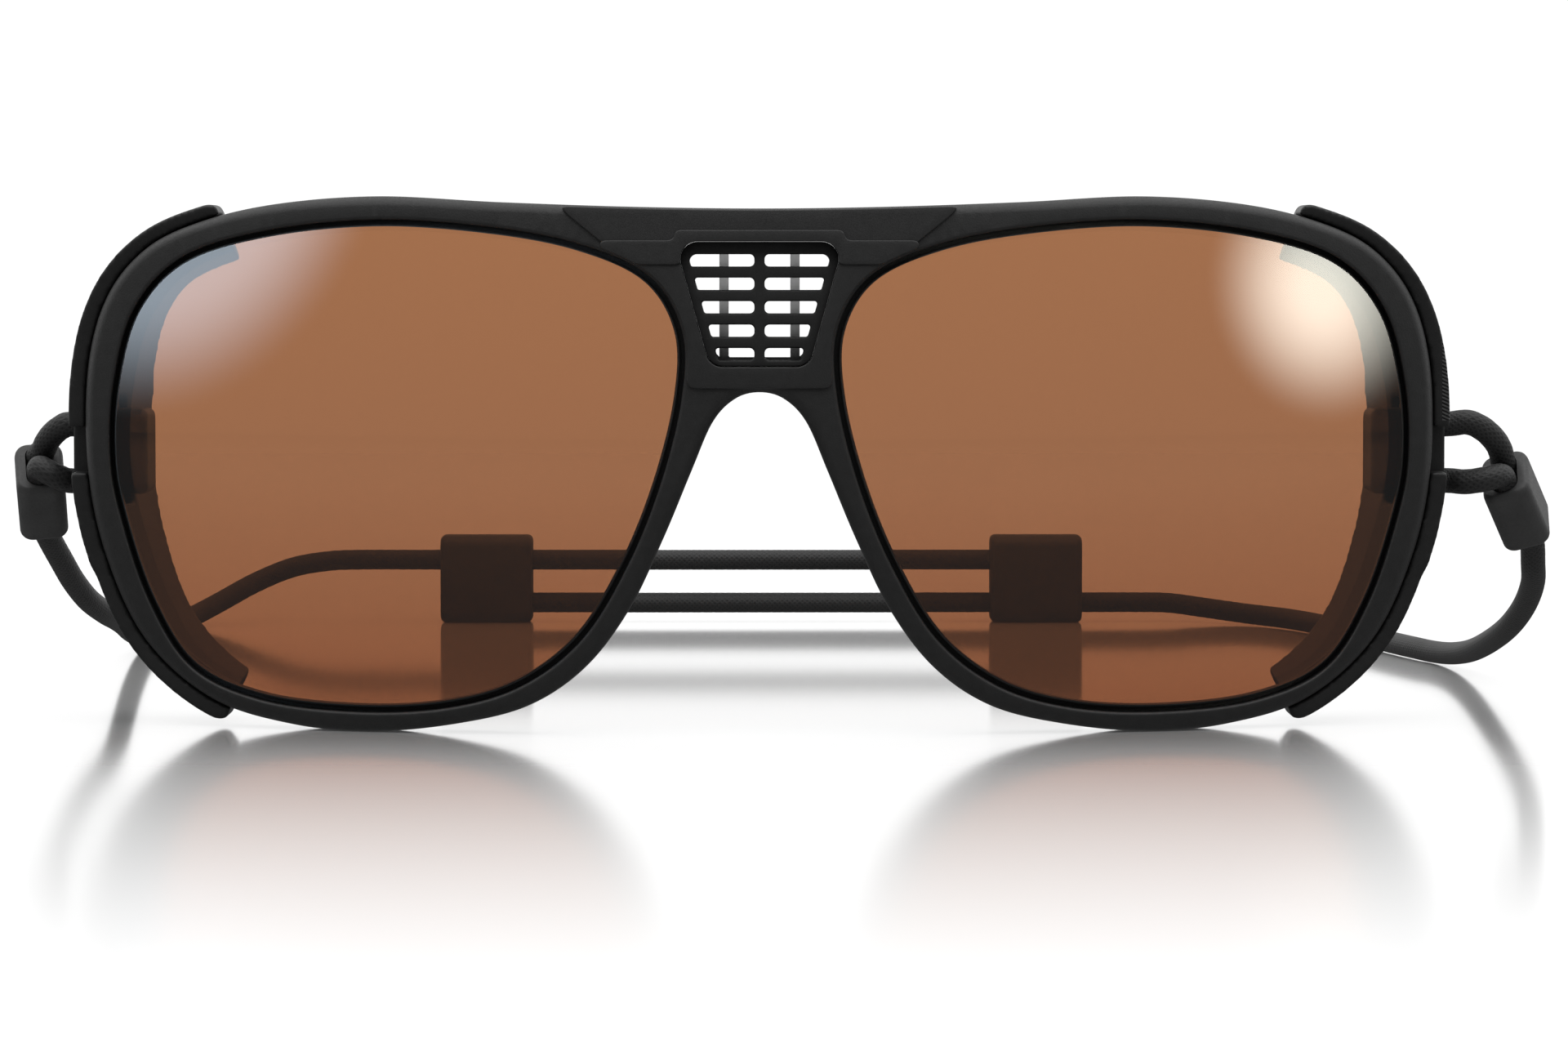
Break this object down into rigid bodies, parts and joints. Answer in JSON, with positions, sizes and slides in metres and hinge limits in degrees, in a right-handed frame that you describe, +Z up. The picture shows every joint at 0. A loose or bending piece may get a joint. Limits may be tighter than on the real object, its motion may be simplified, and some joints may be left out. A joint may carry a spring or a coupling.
{
  "type": "glacier glasses",
  "caption": "Wrapped glacier glasses with copper lenses, a vented bridge, side shields and an adjustable cord with two sliders instead of temple arms.",
  "frame": {"origin": "on the surface the glasses stand on, under the middle of the body of the glasses, which is the frame with its lenses and side shields", "axes": "+X across the face, to the right as seen from the front; +Y rearward, towards the wearer; +Z up"},
  "size_m": [0.1742, 0.1914, 0.058],
  "materials": {
    "frame": "fine matte black moulded nylon",
    "lens": "polished copper-brown tinted polycarbonate",
    "vent": "dull black moulded nylon",
    "silicone": "soft matte silicone",
    "shield": "matte black flexible moulding",
    "cord": "fine woven black cord",
    "bead": "matte black moulded rubbery plastic",
    "metal": "plain crimped metal"
  },
  "bodies": {
    "glasses": {"frame_front": "frame", "lens_left": "lens", "lens_right": "lens", "bridge_cover": "frame", "vent_grille": "vent", "vent_ribs": "vent", "nose_pad_left": "silicone", "nose_pad_right": "silicone", "shield_left": "shield", "shield_right": "shield", "loop_left": "cord", "loop_right": "cord", "cord_left": "cord", "cord_right": "cord", "strand_upper": "cord", "strand_lower": "cord"},
    "loop_end_left": {"bead_left": "bead", "crimp_left": "metal"},
    "loop_end_right": {"bead_right": "bead", "crimp_right": "metal"},
    "adjuster_left": {"slider_left": "bead", "end_stop_left": "metal"},
    "adjuster_right": {"slider_right": "bead", "end_stop_right": "metal"}
  },
  "joints": [
    {"name": "loop_left_swing", "type": "hinge", "parent": "glasses", "child": "loop_end_left", "pos_m": [-0.077, 0.012, 0.03], "axis": [0, 0, -1], "range_deg": [0, 40], "deforming": ["cord_left", "loop_left"]},
    {"name": "loop_right_swing", "type": "hinge", "parent": "glasses", "child": "loop_end_right", "pos_m": [0.078, 0.012, 0.03], "axis": [0, 0, 1], "range_deg": [0, 40], "deforming": ["cord_right", "loop_right"]},
    {"name": "adjuster_left_slide", "type": "slide", "parent": "glasses", "child": "adjuster_left", "axis": [1, 0, 0], "range_m": [-0.01, 0.0315], "deforming": ["strand_lower"]},
    {"name": "adjuster_right_slide", "type": "slide", "parent": "glasses", "child": "adjuster_right", "axis": [1, 0, 0], "range_m": [-0.032, 0.01], "deforming": ["strand_upper"]}
  ]
}
